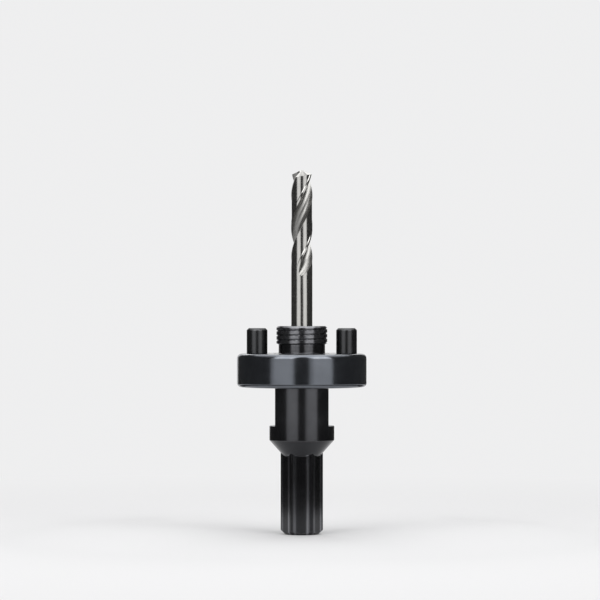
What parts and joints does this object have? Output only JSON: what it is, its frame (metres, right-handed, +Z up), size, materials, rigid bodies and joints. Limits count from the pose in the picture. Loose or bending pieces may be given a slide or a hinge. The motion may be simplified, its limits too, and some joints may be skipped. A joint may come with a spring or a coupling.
{
  "type": "hole saw arbor",
  "caption": "Arbor that holds a large hole saw: hexagon shank, threaded nose, sliding drive plate with pins, and a twist pilot drill.",
  "frame": {"origin": "centre of the hexagon shank's end face, where the arbor stands", "axes": "+Z up the axis from the shank to the drill's point; +X across the neck's flats, through the right drive pin; +Y to the side of the plate with the ball's screw"},
  "size_m": [0.0386, 0.0386, 0.1087],
  "materials": {
    "blackened_body": "black oxide over turned and milled steel, satin with a light oil sheen",
    "blackened_plate": "black oxide over turned steel, satin",
    "blackened_pin": "black oxide over ground steel, satin",
    "blackened_screw": "black oxide, satin",
    "bright_drill_steel": "bright ground high-speed steel",
    "polished_ball": "polished steel",
    "spring_wire": "drawn wire"
  },
  "bodies": {
    "arbor": {"arbor_body": "blackened_body", "pilot_drill": "bright_drill_steel", "drill_set_screw": "blackened_screw"},
    "plate": {"drive_plate": "blackened_plate", "drive_pin_left": "blackened_pin", "drive_pin_right": "blackened_pin", "detent_ball": "polished_ball", "detent_spring": "spring_wire", "detent_screw": "blackened_screw"}
  },
  "joints": [
    {"name": "plate_slide", "type": "slide", "parent": "arbor", "child": "plate", "axis": [0, 0, 1], "range_m": [-0.0114, 0]}
  ]
}
